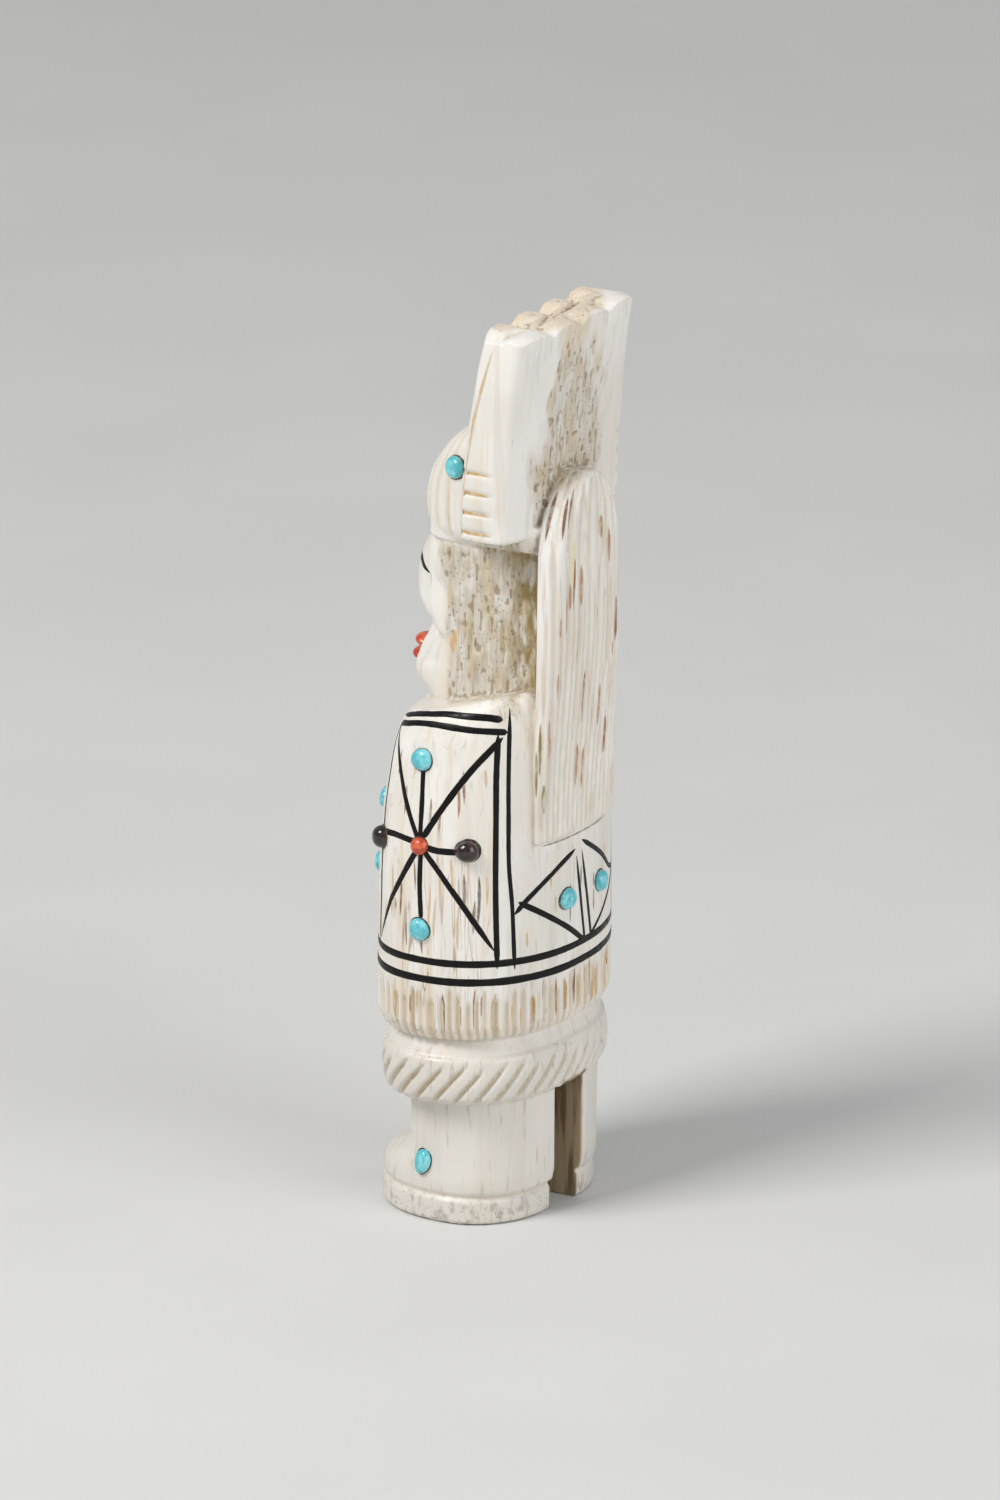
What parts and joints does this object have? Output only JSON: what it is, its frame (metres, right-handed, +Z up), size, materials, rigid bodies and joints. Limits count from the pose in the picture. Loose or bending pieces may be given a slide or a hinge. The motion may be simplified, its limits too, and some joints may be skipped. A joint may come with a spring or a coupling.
{
  "type": "carved antler figurine",
  "caption": "Small standing maiden carved from antler, with ink-filled lines and inlaid turquoise, coral and jet domes.",
  "frame": {"origin": "centre of the footprint's bounding box, on the surface the boots stand on", "axes": "+Z up along the figure; the figure faces -Y, and its own left side is +X"},
  "size_m": [0.0368, 0.0268, 0.1152],
  "materials": {
    "antler": "satin",
    "turquoise": "polished",
    "jet": "gloss",
    "coral": "polished"
  },
  "bodies": {
    "root": {"antler_carving": "antler", "star_top_left": "turquoise", "star_top_right": "turquoise", "star_bottom_left": "turquoise", "star_bottom_right": "turquoise", "front_dot_upper_left": "turquoise", "front_dot_upper_right": "turquoise", "front_dot_lower_left": "turquoise", "front_dot_lower_right": "turquoise", "back_dot_left": "turquoise", "back_dot_right": "turquoise", "hair_stone_left": "turquoise", "hair_stone_right": "turquoise", "foot_stone_left": "turquoise", "foot_stone_right": "turquoise", "star_front_left": "jet", "star_front_right": "jet", "star_back_left": "jet", "star_back_right": "jet", "star_center_left": "coral", "star_center_right": "coral", "lip_upper": "coral", "lip_lower": "coral"}
  },
  "joints": []
}
